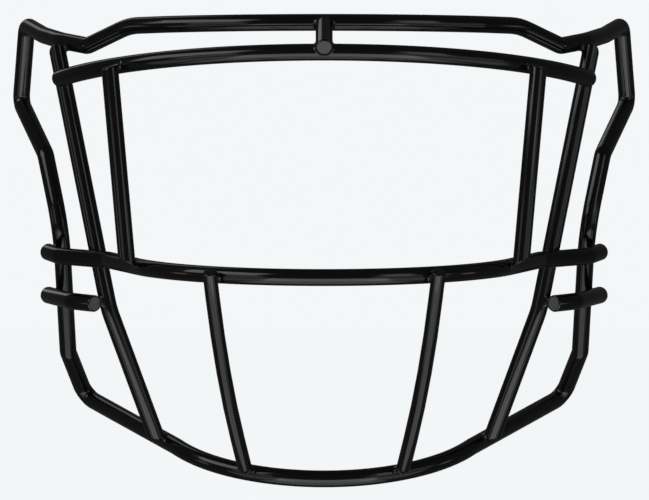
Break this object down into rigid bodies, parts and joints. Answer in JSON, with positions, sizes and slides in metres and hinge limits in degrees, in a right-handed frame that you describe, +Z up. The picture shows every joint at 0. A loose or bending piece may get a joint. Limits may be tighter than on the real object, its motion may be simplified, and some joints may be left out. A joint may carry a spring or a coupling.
{
  "type": "american football helmet face guard",
  "caption": "Open cage of coated steel wire that bolts to the front of a football helmet and keeps hands, knees and the ball off the face.",
  "frame": {"origin": "on the centre line of the edge wire, at the middle of its top bar, where the helmet's top clips hold the guard", "axes": "+Z up as the guard is worn, +Y back towards the helmet, +X to the right when the guard is seen from the front; the plane X = 0 is its plane of symmetry"},
  "size_m": [0.264, 0.1768, 0.199],
  "materials": {
    "coated_wire": "gloss black polymer powder coat over steel wire",
    "coated_weld": "gloss black polymer coat pooled over a weld"
  },
  "bodies": {
    "root": {"edge_wire": "coated_wire", "brow_bar": "coated_wire", "jaw_bar": "coated_wire", "top_post": "coated_wire", "side_bar_right": "coated_wire", "side_bar_left": "coated_wire", "eye_bar_right": "coated_wire", "eye_bar_left": "coated_wire", "mouth_bar_right": "coated_wire", "mouth_bar_left": "coated_wire", "stub_bar_right": "coated_wire", "stub_bar_left": "coated_wire", "weld_edge_side_top_right": "coated_weld", "weld_edge_side_top_left": "coated_weld", "weld_brow_side_right": "coated_weld", "weld_brow_side_left": "coated_weld", "weld_brow_eye_right": "coated_weld", "weld_brow_eye_left": "coated_weld", "weld_jaw_eye_right": "coated_weld", "weld_jaw_eye_left": "coated_weld", "weld_jaw_side_right": "coated_weld", "weld_jaw_side_left": "coated_weld", "weld_jaw_edge_right": "coated_weld", "weld_jaw_edge_left": "coated_weld", "weld_jaw_mouth_right": "coated_weld", "weld_jaw_mouth_left": "coated_weld", "weld_chin_mouth_right": "coated_weld", "weld_chin_mouth_left": "coated_weld", "weld_chin_side_right": "coated_weld", "weld_chin_side_left": "coated_weld", "weld_stub_edge_right": "coated_weld", "weld_stub_edge_left": "coated_weld", "weld_stub_side_right": "coated_weld", "weld_stub_side_left": "coated_weld"}
  },
  "joints": []
}
